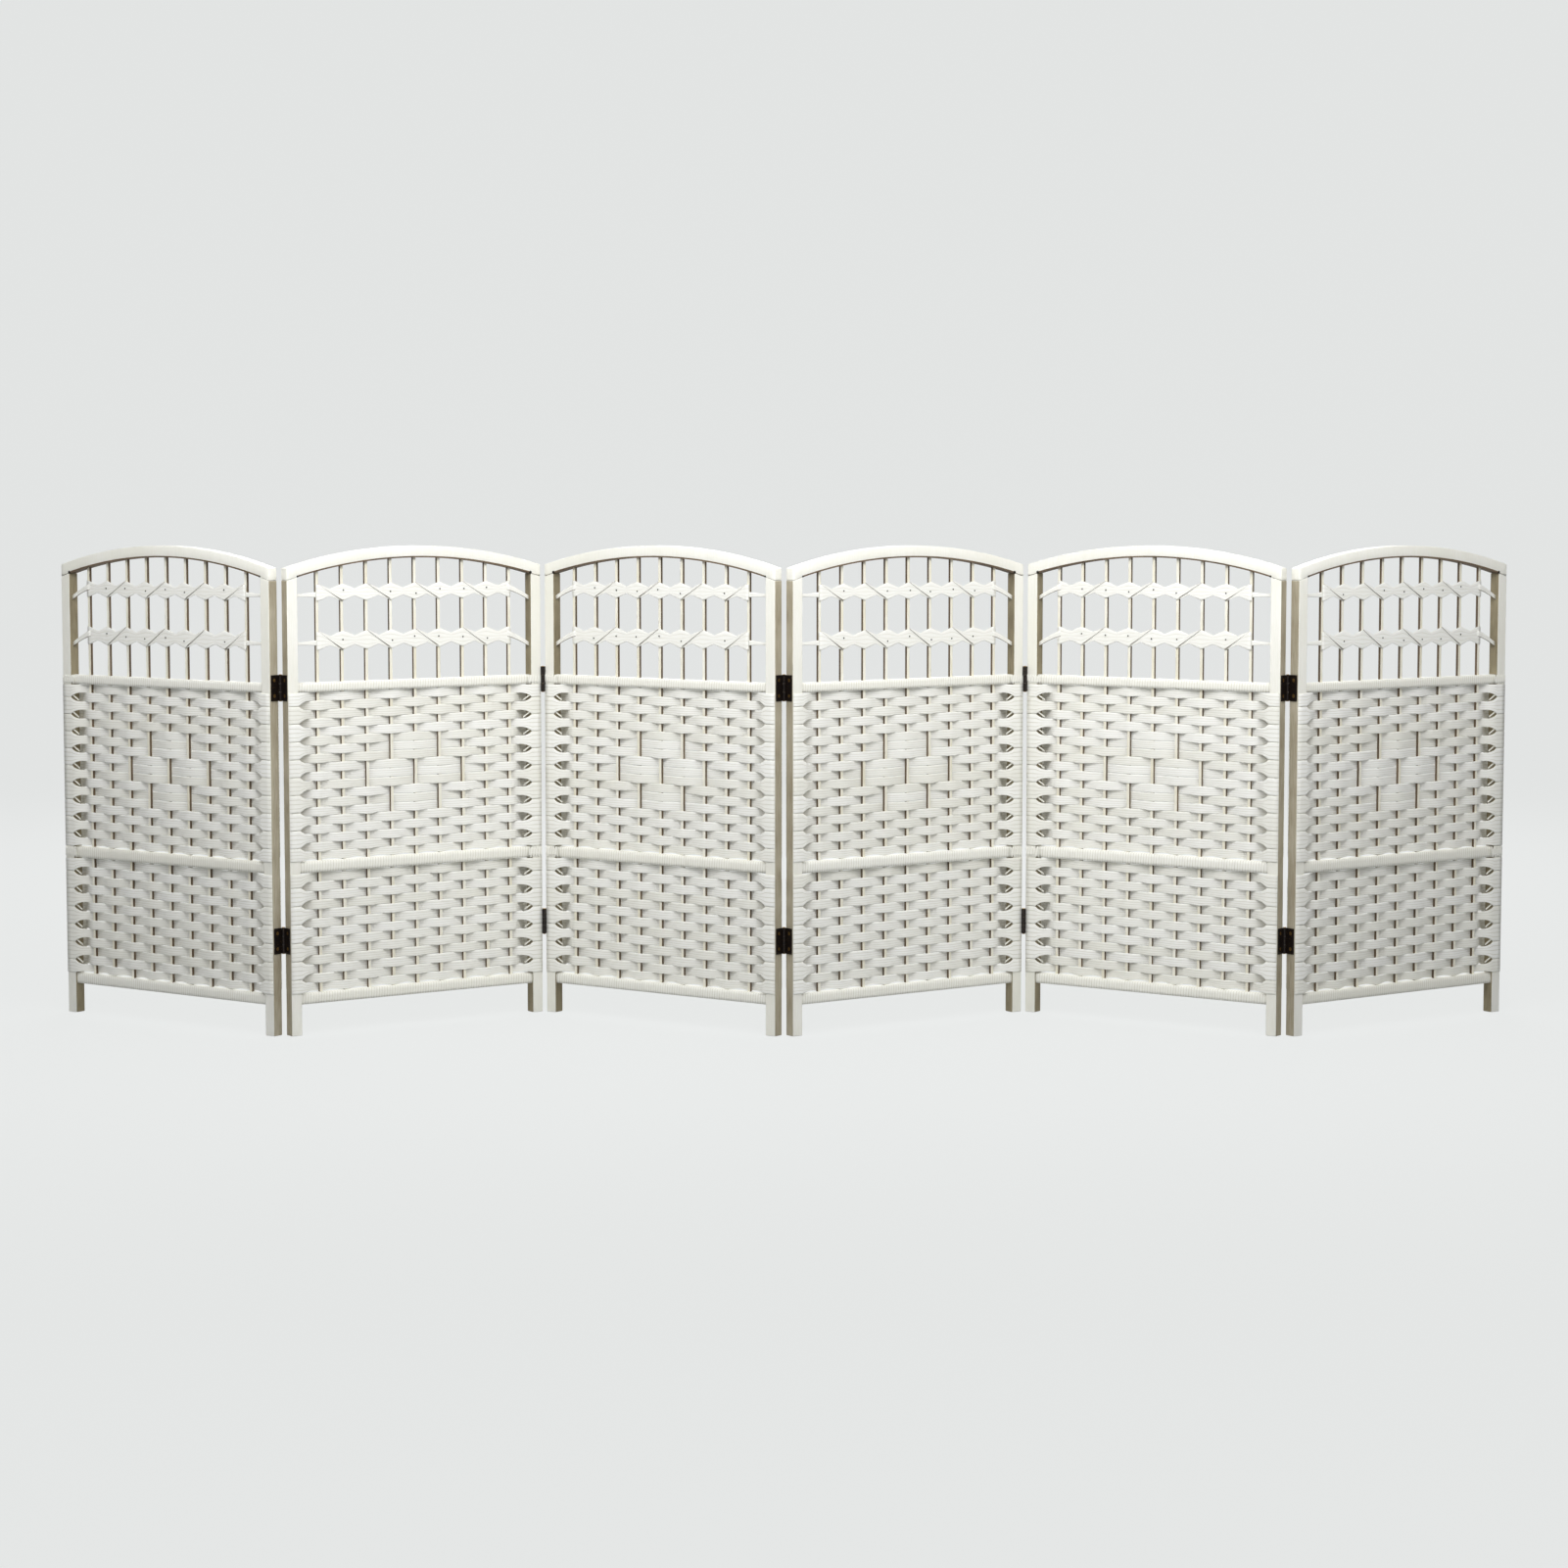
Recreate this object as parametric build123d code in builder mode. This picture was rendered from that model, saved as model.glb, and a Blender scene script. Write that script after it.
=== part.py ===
"""A six-panel folding screen: painted wooden frames, upright canes and woven flat strands.

Every panel is built in its own frame: X along its width with the origin in the middle, the front
at -Y, and Z up from the floor. Its plane then sets it down in the zigzag of the standing screen.
All sizes are in millimetres and degrees.
"""

import os
from math import cos, radians, sin, sqrt

from build123d import *

os.makedirs("parts", exist_ok=True)

# The screen
panel_count = 6
panel_width = 450.0
screen_height = 720.0  # from the floor to the top of the arch at the posts
fold_angle = 35.0  # the turn of each panel from the line of the screen, as it stands
assembly_gap = 0.2  # glued and woven pieces clear each other by this

# Posts and the arch on top of them
post_size = 18.0  # square section
arch_rise = 32.0
arch_thickness = 18.0
dowel_radius = 4.0  # the round tenon on the top of each post
dowel_length = 8.0

# Rails between the posts
rail_depth = 14.0
upper_rail_height = 15.5
upper_rail_drop = 183.0  # from the top of the arch ends to the middle of the rail
middle_rail_height = 19.0
middle_rail_level = 260.0  # from the floor to the middle of the rail
bottom_rail_height = 18.0
leg_height = 47.0  # from the floor to the underside of the bottom rail
tenon_length = 8.0
tenon_thickness = 7.0
tenon_shoulder = 3.0  # above and below each tenon

# Upright canes, split and planed square
cane_count = 9
cane_spacing = 42.6
cane_size = 5.0
cane_socket = 8.0  # depth of the blind holes that hold the ends of the canes

# Woven fields, each row one flat strand on edge
upper_rows = 19
lower_rows = 13
strand_thickness = 1.0
row_gap = 0.3
strand_end_inset = 0.5  # the strands stop this far inside the outer faces of the posts
diamond_row_step = 3  # rows between those that draw the small diamond in the upper field

# The two open bands of crossing strands above the upper rail
upper_band_drop = 38.0  # from the top of the arch ends to the middle of the band
lower_band_drop = 112.0
band_strand_width = 13.5
upper_band_swing = 6.5  # how far each strand goes above and below the middle
lower_band_swing = 8.0

# Butt hinges, two at each joint
hinge_height = 40.0
lower_hinge_level = 147.0  # from the floor to the middle of the hinge
leaf_thickness = 1.2
leaf_margin = 2.0  # bare edge of the post beside each leaf
leaf_gap = 0.6  # between the closed leaves
barrel_radius = 2.5
knuckle_count = 3
knuckle_gap = 0.3
pin_radius = 1.2
pin_clearance = 0.1
pin_head_radius = 2.2
pin_head_height = 0.8

# Hinge screws
screw_spacing = 24.0
screw_radius = 1.5
screw_head_radius = 2.8
screw_head_height = 1.1
screw_length = 12.0
screw_tip_length = 2.0
screw_tip_radius = 0.4
screw_slot_width = 0.7
screw_slot_depth = 0.4
pilot_clearance = 0.1

# Sizes that follow from those above
half_width = panel_width / 2
half_post = post_size / 2
inner_half_width = half_width - post_size
arch_radius = (half_width**2 + arch_rise**2) / (2 * arch_rise)
arch_centre = screen_height + arch_rise - arch_radius
underside_radius = arch_radius - arch_thickness
upper_rail_level = screen_height - upper_rail_drop
bottom_rail_level = leg_height + bottom_rail_height / 2
upper_field_top = upper_rail_level - upper_rail_height / 2
upper_field_bottom = middle_rail_level + middle_rail_height / 2
lower_field_top = middle_rail_level - middle_rail_height / 2
lower_field_bottom = leg_height + bottom_rail_height
strand_offset = cane_size / 2 + assembly_gap + strand_thickness / 2
cane_hole = cane_size + 2 * assembly_gap
post_strand_offset = half_post + assembly_gap + strand_thickness / 2
hinge_levels = (lower_hinge_level, upper_rail_level)
face_gap = 2 * leaf_thickness + leaf_gap
pin_out = face_gap / 2  # from the outer face of a post to the pin
pin_proud = half_post + assembly_gap + strand_thickness + barrel_radius
panel_pitch = (panel_width + face_gap) * cos(radians(fold_angle))
panel_pitch += 2 * pin_proud * sin(radians(fold_angle))
cane_places = [(n - (cane_count - 1) / 2) * cane_spacing for n in range(cane_count)]

FRONT, BACK = -1, 1
LEFT, RIGHT = -1, 1
LOW = (Align.CENTER, Align.CENTER, Align.MIN)


def panel_plane(number):
    """Where a panel stands: the odd ones come forward to the right, the even ones go back."""
    turn = radians(-fold_angle if number % 2 else fold_angle)
    across = (number - (panel_count + 1) / 2) * panel_pitch
    return Plane(origin=(across, 0, 0), x_dir=(cos(turn), sin(turn), 0), z_dir=(0, 0, 1))


def hinged_ends(number):
    """The ends of a panel that carry hinges, each with the face that its pins stand proud of."""
    right_face = BACK if number % 2 else FRONT
    ends = []
    if number > 1:
        ends.append((LEFT, -right_face))
    if number < panel_count:
        ends.append((RIGHT, right_face))
    return ends


def save(piece, name, number):
    """Set a piece down in the place of its panel and write its file."""
    placed = panel_plane(number).from_local_coords(piece.part)
    placed.label = name
    export_step(placed, f"parts/{name}.step")


def height_on_circle(radius, x):
    """The height of a circle about the centre of the arch, x from the middle of the panel."""
    return arch_centre + sqrt(radius**2 - x**2)


def screw_planes(end, depth=0.0):
    """A plane for each screw, this deep below the outer face of the leaf, facing into the post."""
    x = end * (half_width + leaf_thickness - depth)
    offsets = (-screw_spacing / 2, screw_spacing / 2)
    levels = [level + offset for level in hinge_levels for offset in offsets]
    return [Plane(origin=(x, 0, z), x_dir=(0, 0, 1), z_dir=(-end, 0, 0)) for z in levels]


# Posts

def make_post(end, hinged):
    """A square post: its top follows the arch, with mortises inside and pilot holes outside."""
    top_radius = underside_radius - assembly_gap
    outer, inner = end * half_width, end * inner_half_width
    middle = (outer + inner) / 2
    with BuildPart() as post:
        with BuildSketch(Plane.XZ):
            with BuildLine():
                Polyline(
                    (outer, height_on_circle(top_radius, outer)),
                    (outer, 0),
                    (inner, 0),
                    (inner, height_on_circle(top_radius, inner)),
                )
                ThreePointArc(
                    (inner, height_on_circle(top_radius, inner)),
                    (middle, height_on_circle(top_radius, middle)),
                    (outer, height_on_circle(top_radius, outer)),
                )
            make_face()
        extrude(amount=half_post, both=True)
        shoulder = height_on_circle(top_radius, middle)
        with Locations((middle, 0, shoulder - dowel_length)):
            Cylinder(dowel_radius, 2 * dowel_length, align=LOW)
        mortise_length = tenon_length + assembly_gap
        for level, height in rail_sizes():
            with Locations((inner + end * mortise_length / 2, 0, level)):
                Box(
                    mortise_length,
                    tenon_thickness + 2 * assembly_gap,
                    height - 2 * tenon_shoulder + 2 * assembly_gap,
                    mode=Mode.SUBTRACT,
                )
        if hinged:
            with Locations(*screw_planes(end)):
                Cylinder(
                    screw_radius + pilot_clearance,
                    screw_length + pilot_clearance,
                    align=LOW,
                    mode=Mode.SUBTRACT,
                )
    return post


# Rails

def rail_sizes():
    """The level of the middle of each rail and its height, from the top down."""
    return [
        (upper_rail_level, upper_rail_height),
        (middle_rail_level, middle_rail_height),
        (bottom_rail_level, bottom_rail_height),
    ]


def make_rails():
    """Three rails with a stub tenon at each end, bored for the canes."""
    with BuildPart() as rails:
        for level, height in rail_sizes():
            with Locations((0, 0, level)):
                Box(2 * inner_half_width, rail_depth, height)
                Box(
                    2 * (inner_half_width + tenon_length),
                    tenon_thickness,
                    height - 2 * tenon_shoulder,
                )
        socket_floor = lower_field_bottom - cane_socket
        with Locations(*[(x, 0, socket_floor) for x in cane_places]):
            Box(cane_hole, cane_hole, screen_height, align=LOW, mode=Mode.SUBTRACT)
    return rails


# The arch

def make_arch():
    """A bow on top of the posts, with sockets below for the canes and the dowels."""
    end_height = height_on_circle(underside_radius, half_width)
    with BuildPart() as arch:
        with BuildSketch(Plane.XZ):
            with BuildLine():
                ThreePointArc(
                    (-half_width, screen_height),
                    (0, screen_height + arch_rise),
                    (half_width, screen_height),
                )
                Line((half_width, screen_height), (half_width, end_height))
                ThreePointArc(
                    (half_width, end_height),
                    (0, arch_centre + underside_radius),
                    (-half_width, end_height),
                )
                Line((-half_width, end_height), (-half_width, screen_height))
            make_face()
        extrude(amount=half_post, both=True)
        for x in cane_places:
            with Locations((x, 0, height_on_circle(underside_radius, x) - cane_socket)):
                Box(cane_hole, cane_hole, 2 * cane_socket, align=LOW, mode=Mode.SUBTRACT)
        middle = half_width - half_post
        with Locations((-middle, 0, 0), (middle, 0, 0)):
            Cylinder(
                dowel_radius + assembly_gap,
                height_on_circle(underside_radius, middle) + dowel_length,
                align=LOW,
                mode=Mode.SUBTRACT,
            )
    return arch


# Canes

def make_canes():
    """Square canes that stand in the bottom rail, pass the other rails and end in the arch."""
    foot = lower_field_bottom - cane_socket
    with BuildPart() as canes:
        for x in cane_places:
            top = height_on_circle(underside_radius, x) + cane_socket - assembly_gap
            with Locations((x, 0, foot)):
                Box(cane_size, cane_size, top - foot, align=LOW)
    return canes


# Weave

def strand_side(row, place):
    """The side on which a plain row passes an upright; place 0 is the left post."""
    return BACK if (row + place) % 2 == 0 else FRONT


def diamond_reach():
    """The rows that draw the diamond, and how many canes each side of the middle they change."""
    middle = (upper_rows + 1) // 2
    return {middle - diamond_row_step: 1, middle: 2, middle + diamond_row_step: 1}


def strand_stations(row, reach):
    """Points that the middle of a strand passes, from the left post to the right one."""
    left = post_strand_offset * strand_side(row, 0)
    right = post_strand_offset * strand_side(row, cane_count + 1)
    stations = [(strand_end_inset - half_width, left), (-inner_half_width, left)]
    for place, x in enumerate(cane_places, start=1):
        side = strand_side(row, place)
        if abs(place - (cane_count + 1) / 2) <= reach:
            side = -side
        stations.append((x, side * strand_offset))
    stations += [(inner_half_width, right), (half_width - strand_end_inset, right)]
    return stations


def draw_ribbon(stations, width):
    """The outline of a strand, level where it passes each upright."""
    for shift in (-width / 2, width / 2):
        points = [(along, across + shift) for along, across in stations]
        for start, end in zip(points, points[1:]):
            if start[1] == end[1]:
                Line(start, end)
            else:
                Spline(start, end, tangents=((1, 0), (1, 0)))
    for along, across in (stations[0], stations[-1]):
        Line((along, across - width / 2), (along, across + width / 2))


def weave_field(top, bottom, rows, reaches):
    """One field of strands, woven in front of and behind the canes by turns."""
    pitch = (top - bottom) / rows
    patterns = {}
    for row in range(1, rows + 1):
        patterns.setdefault((row % 2, reaches.get(row, -1)), []).append(row)
    for (_, reach), members in patterns.items():
        feet = [Plane.XY.offset(top - row * pitch + row_gap / 2) for row in members]
        with BuildSketch(*feet) as profile:
            with BuildLine():
                draw_ribbon(strand_stations(members[0], reach), strand_thickness)
            make_face()
        extrude(profile.sketch, amount=pitch - row_gap)


def make_weave():
    """The two woven fields of a panel, above and below the middle rail."""
    with BuildPart() as weave:
        weave_field(upper_field_top, upper_field_bottom, upper_rows, diamond_reach())
        weave_field(lower_field_top, lower_field_bottom, lower_rows, {})
    return weave


# Open bands

def band_strand(level, swing, first_side, layer):
    """A flat strand in front of the canes that goes above and below the level by turns."""
    reach = inner_half_width - assembly_gap
    stations = [(-reach, level)]
    for place, x in enumerate(cane_places):
        side = first_side if place % 2 == 0 else -first_side
        stations.append((x, level + side * swing))
    stations.append((reach, level))
    front = cane_size / 2 + assembly_gap + layer * (strand_thickness + assembly_gap)
    with BuildSketch(Plane.XZ.offset(front)) as profile:
        with BuildLine():
            draw_ribbon(stations, band_strand_width)
        make_face()
    extrude(profile.sketch, amount=strand_thickness)


def make_lattice():
    """Two bands of two crossing strands each, between the arch and the upper rail."""
    with BuildPart() as lattice:
        for drop, swing in (
            (upper_band_drop, upper_band_swing),
            (lower_band_drop, lower_band_swing),
        ):
            band_strand(screen_height - drop, swing, 1, 0)
            band_strand(screen_height - drop, swing, -1, 1)
    return lattice


# Hinges

def knuckle_spans(level):
    """The foot and height of the lower, middle and upper knuckle of one hinge."""
    foot = level - hinge_height / 2
    pitch = hinge_height / knuckle_count
    lower = (foot, pitch - knuckle_gap / 2)
    middle = (foot + pitch + knuckle_gap / 2, pitch - knuckle_gap)
    upper = (foot + 2 * pitch + knuckle_gap / 2, pitch - knuckle_gap / 2)
    return lower, middle, upper


def make_leaf(end, face, level):
    """One leaf: a plate on the post, notched for the other leaf and rolled round the pin."""
    pin_x, pin_y = end * (half_width + pin_out), face * pin_proud
    plate_x = end * (half_width + leaf_thickness / 2)
    plate_start = -face * (half_post - leaf_margin)
    lower, middle, upper = knuckle_spans(level)
    own, other = ((lower, upper), (middle,)) if end == RIGHT else ((middle,), (lower, upper))
    with Locations((plate_x, (plate_start + pin_y) / 2, level)):
        Box(leaf_thickness, abs(pin_y - plate_start), hinge_height)
    for foot, height in other:
        with Locations((pin_x, pin_y, foot - knuckle_gap)):
            Cylinder(
                barrel_radius + knuckle_gap,
                height + 2 * knuckle_gap,
                align=LOW,
                mode=Mode.SUBTRACT,
            )
    for foot, height in own:
        with Locations((pin_x, pin_y, foot)):
            Cylinder(barrel_radius, height, align=LOW)
    with Locations((pin_x, pin_y, level)):
        Cylinder(pin_radius + pin_clearance, hinge_height, mode=Mode.SUBTRACT)


def make_leaves(number):
    """The leaves of both ends of a panel, countersunk for their screws."""
    with BuildPart() as leaves:
        for end, face in hinged_ends(number):
            for level in hinge_levels:
                make_leaf(end, face, level)
            with Locations(*screw_planes(end)):
                Cone(
                    screw_head_radius + pilot_clearance,
                    screw_radius + pilot_clearance,
                    screw_head_height,
                    align=LOW,
                    mode=Mode.SUBTRACT,
                )
                Cylinder(
                    screw_radius + pilot_clearance,
                    leaf_thickness,
                    align=LOW,
                    mode=Mode.SUBTRACT,
                )
    return leaves


def make_screws(number):
    """Slotted countersunk screws, flush with the leaves that they hold."""
    with BuildPart() as screws:
        for end, _ in hinged_ends(number):
            with Locations(*screw_planes(end)):
                Cone(screw_head_radius, screw_radius, screw_head_height, align=LOW)
                Cylinder(screw_radius, screw_length - screw_tip_length, align=LOW)
                Box(
                    screw_slot_width,
                    2 * screw_head_radius,
                    2 * screw_slot_depth,
                    mode=Mode.SUBTRACT,
                )
            with Locations(*screw_planes(end, screw_length - screw_tip_length)):
                Cone(screw_radius, screw_tip_radius, screw_tip_length, align=LOW)
    return screws


def make_pins(number):
    """The headed pins of the two hinges on the right of a panel."""
    face = dict(hinged_ends(number))[RIGHT]
    pin_x, pin_y = half_width + pin_out, face * pin_proud
    with BuildPart() as pins:
        for level in hinge_levels:
            with Locations((pin_x, pin_y, level)):
                Cylinder(pin_radius, hinge_height)
            foot, top = level - hinge_height / 2, level + hinge_height / 2
            with Locations((pin_x, pin_y, foot - pin_head_height), (pin_x, pin_y, top)):
                Cylinder(pin_head_radius, pin_head_height, align=LOW)
    return pins


# The whole screen

arch = make_arch()
rails = make_rails()
canes = make_canes()
weave = make_weave()
lattice = make_lattice()

for number in range(1, panel_count + 1):
    panel = f"panel_{number}"
    hinged = [end for end, _ in hinged_ends(number)]
    save(make_post(LEFT, LEFT in hinged), f"{panel}_left_post", number)
    save(make_post(RIGHT, RIGHT in hinged), f"{panel}_right_post", number)
    save(arch, f"{panel}_top_arch", number)
    save(rails, f"{panel}_rails", number)
    save(canes, f"{panel}_canes", number)
    save(weave, f"{panel}_weave", number)
    save(lattice, f"{panel}_lattice", number)
    save(make_leaves(number), f"{panel}_hinge_leaves", number)
    save(make_screws(number), f"{panel}_hinge_screws", number)
    if number < panel_count:
        save(make_pins(number), f"hinge_pins_{number}_{number + 1}", number)
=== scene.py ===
"""Looks of the six-panel woven folding screen: painted frames, square canes and rows of cord.

Each panel is made in its own frame, as in the part's source: millimetres, X along the width from
the middle, the front at -Y and Z up from the floor. Its matrix then sets it down in the zigzag.
"""

import random
from math import cos, pi, radians, sin, sqrt

import bmesh
import bpy
from mathutils import Matrix, Vector


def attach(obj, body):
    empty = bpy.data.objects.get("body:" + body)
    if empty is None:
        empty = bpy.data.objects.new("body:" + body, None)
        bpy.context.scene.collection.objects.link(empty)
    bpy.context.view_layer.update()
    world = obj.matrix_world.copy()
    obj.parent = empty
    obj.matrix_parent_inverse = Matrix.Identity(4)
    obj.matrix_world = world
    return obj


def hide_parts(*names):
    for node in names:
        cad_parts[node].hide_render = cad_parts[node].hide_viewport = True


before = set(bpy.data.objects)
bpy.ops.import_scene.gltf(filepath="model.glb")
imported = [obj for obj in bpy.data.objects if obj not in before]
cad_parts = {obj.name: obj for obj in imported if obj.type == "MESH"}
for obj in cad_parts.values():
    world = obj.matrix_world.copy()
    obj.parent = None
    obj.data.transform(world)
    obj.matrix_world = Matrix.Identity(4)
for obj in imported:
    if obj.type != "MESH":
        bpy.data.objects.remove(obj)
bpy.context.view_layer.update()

MM = 0.001

# The screen, as in the part's source
PANEL_COUNT = 6
HALF_WIDTH = 225.0
SCREEN_HEIGHT = 720.0
FOLD_ANGLE = 35.0
FACE_GAP = 3.0
PIN_PROUD = 12.7
POST_SIZE = 18.0
HALF_POST = POST_SIZE / 2
INNER_HALF_WIDTH = HALF_WIDTH - POST_SIZE
ARCH_RISE = 32.0
ARCH_THICKNESS = 18.0
ARCH_RADIUS = (HALF_WIDTH**2 + ARCH_RISE**2) / (2 * ARCH_RISE)
ARCH_CENTRE = SCREEN_HEIGHT + ARCH_RISE - ARCH_RADIUS
UNDERSIDE_RADIUS = ARCH_RADIUS - ARCH_THICKNESS
RAIL_DEPTH = 14.0
RAILS = ((537.0, 15.5), (260.0, 19.0), (56.0, 18.0))  # the middle and height of each
CANE_COUNT = 9
CANE_SPACING = 42.6
CANE_SIZE = 5.0
CANE_PLACES = [(n - (CANE_COUNT - 1) / 2) * CANE_SPACING for n in range(CANE_COUNT)]
CANE_SOCKET = 8.0
FIELDS = ((529.25, 269.5, 19), (250.5, 65.0, 13))  # top, bottom and rows of each woven field
DIAMOND_ROWS = {7: 1, 10: 2, 13: 1}  # in the upper field: row, canes changed each side
STRAND_OFFSET = 3.2
POST_STRAND_OFFSET = 9.7
BANDS = ((SCREEN_HEIGHT - 38.0, 27.0, 11.0), (SCREEN_HEIGHT - 112.0, 30.0, 14.0))
BAND_END = 4.06 * CANE_SPACING  # from the middle of the panel
CORD_WIDTH = 3.3
CORDS = 4  # side by side in a strand
STRAND_THICKNESS = 1.1
WAIST_INSET = 0.25  # at the top and the foot of a row, between two uprights
LAST_ROW_WAIST = 4.6  # from the middle of the last row of a field to its foot, likewise
TURN_PITCH = 4.6  # of the cord wound on the rails
PANEL_PITCH = (2 * HALF_WIDTH + FACE_GAP) * cos(radians(FOLD_ANGLE))
PANEL_PITCH += 2 * PIN_PROUD * sin(radians(FOLD_ANGLE))

PAPER_SHADE = "F6F8F7"  # as the camera sees the background
FLOOR_SHADE = "A9ABAC"  # as it lights the screen
PAPER_SHARE = 0.8  # of the paper's even shade in what the camera sees
AIR_MATCH = 0.82  # brings the open air to the tone of the lit paper

FRONT, BACK = -1, 1
LEFT, RIGHT = -1, 1


# Materials

def linear(code):
    """An sRGB hex colour as linear RGBA."""
    channels = [int(code[at:at + 2], 16) / 255 for at in (0, 2, 4)]
    return [c / 12.92 if c <= 0.04045 else ((c + 0.055) / 1.055) ** 2.4 for c in channels] + [1]


def node(tree, kind, inputs=None, **settings):
    """One shader node: its settings, then its inputs as values or as links from other nodes."""
    made = tree.nodes.new("ShaderNode" + kind)
    for name, value in settings.items():
        setattr(made, name, value)
    for name, value in (inputs or {}).items():
        if isinstance(value, bpy.types.NodeSocket):
            tree.links.new(value, made.inputs[name])
        else:
            made.inputs[name].default_value = value
    return made


def new_material(name):
    """An empty node material and its tree."""
    material = bpy.data.materials.new(name)
    material.use_nodes = True
    material.node_tree.nodes.clear()
    return material, material.node_tree


def painted_pine(name, pale, deep):
    """Pine sticks under brushed ivory enamel: faint strokes along the wood, a satin sheen that
    breaks a little, and slow yellowing from place to place."""
    material, tree = new_material(name)
    place = node(tree, "TexCoord").outputs["Object"]
    drawn = node(tree, "Mapping", {"Vector": place, "Scale": (1, 1, 0.04)})
    # Brush marks about 0.8 mm apart, 25 times as long
    strokes = node(tree, "TexNoise", {"Vector": drawn.outputs[0], "Scale": 1200, "Detail": 3})
    # Yellowing in patches of about 90 mm
    ageing = node(tree, "TexNoise", {"Vector": place, "Scale": 11, "Detail": 2})
    mixed = node(tree, "Math", {0: strokes.outputs["Fac"], 1: ageing.outputs["Fac"]},
                 operation="MULTIPLY")
    tone = node(tree, "MapRange", {"Value": mixed.outputs[0], "From Min": 0.15, "From Max": 0.4})
    colour = node(tree, "Mix", {"Factor": tone.outputs[0], "A": linear(deep), "B": linear(pale)},
                  data_type="RGBA")
    sheen = node(tree, "MapRange", {"Value": strokes.outputs["Fac"], "To Min": 0.38,
                                    "To Max": 0.55})
    relief = node(tree, "Bump", {"Height": strokes.outputs["Fac"], "Strength": 0.25,
                                 "Distance": 0.0001})
    shader = node(tree, "BsdfPrincipled", {
        "Base Color": colour.outputs["Result"], "Roughness": sheen.outputs[0],
        "Normal": relief.outputs[0], "IOR": 1.5,
    })
    node(tree, "OutputMaterial", {"Surface": shader.outputs[0]})
    return material


def bare_wood(name, pale, deep):
    """Split wood left without paint: brown, with fine darker pores along the grain, matt."""
    material, tree = new_material(name)
    place = node(tree, "TexCoord").outputs["Object"]
    drawn = node(tree, "Mapping", {"Vector": place, "Scale": (1, 1, 0.03)})
    # Grain lines about 0.7 mm apart
    grain = node(tree, "TexNoise", {"Vector": drawn.outputs[0], "Scale": 1400, "Detail": 4})
    # Darker and paler lengths of about 60 mm
    stain = node(tree, "TexNoise", {"Vector": place, "Scale": 16, "Detail": 2})
    mixed = node(tree, "Mix", {"Factor": 0.4, "A": grain.outputs["Fac"],
                               "B": stain.outputs["Fac"]})
    tone = node(tree, "MapRange", {"Value": mixed.outputs["Result"], "From Min": 0.35,
                                   "From Max": 0.65})
    colour = node(tree, "Mix", {"Factor": tone.outputs[0], "A": linear(deep), "B": linear(pale)},
                  data_type="RGBA")
    relief = node(tree, "Bump", {"Height": grain.outputs["Fac"], "Strength": 0.4,
                                 "Distance": 0.0001})
    shader = node(tree, "BsdfPrincipled", {
        "Base Color": colour.outputs["Result"], "Roughness": 0.7,
        "Normal": relief.outputs[0], "IOR": 1.5,
    })
    node(tree, "OutputMaterial", {"Surface": shader.outputs[0]})
    return material


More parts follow.
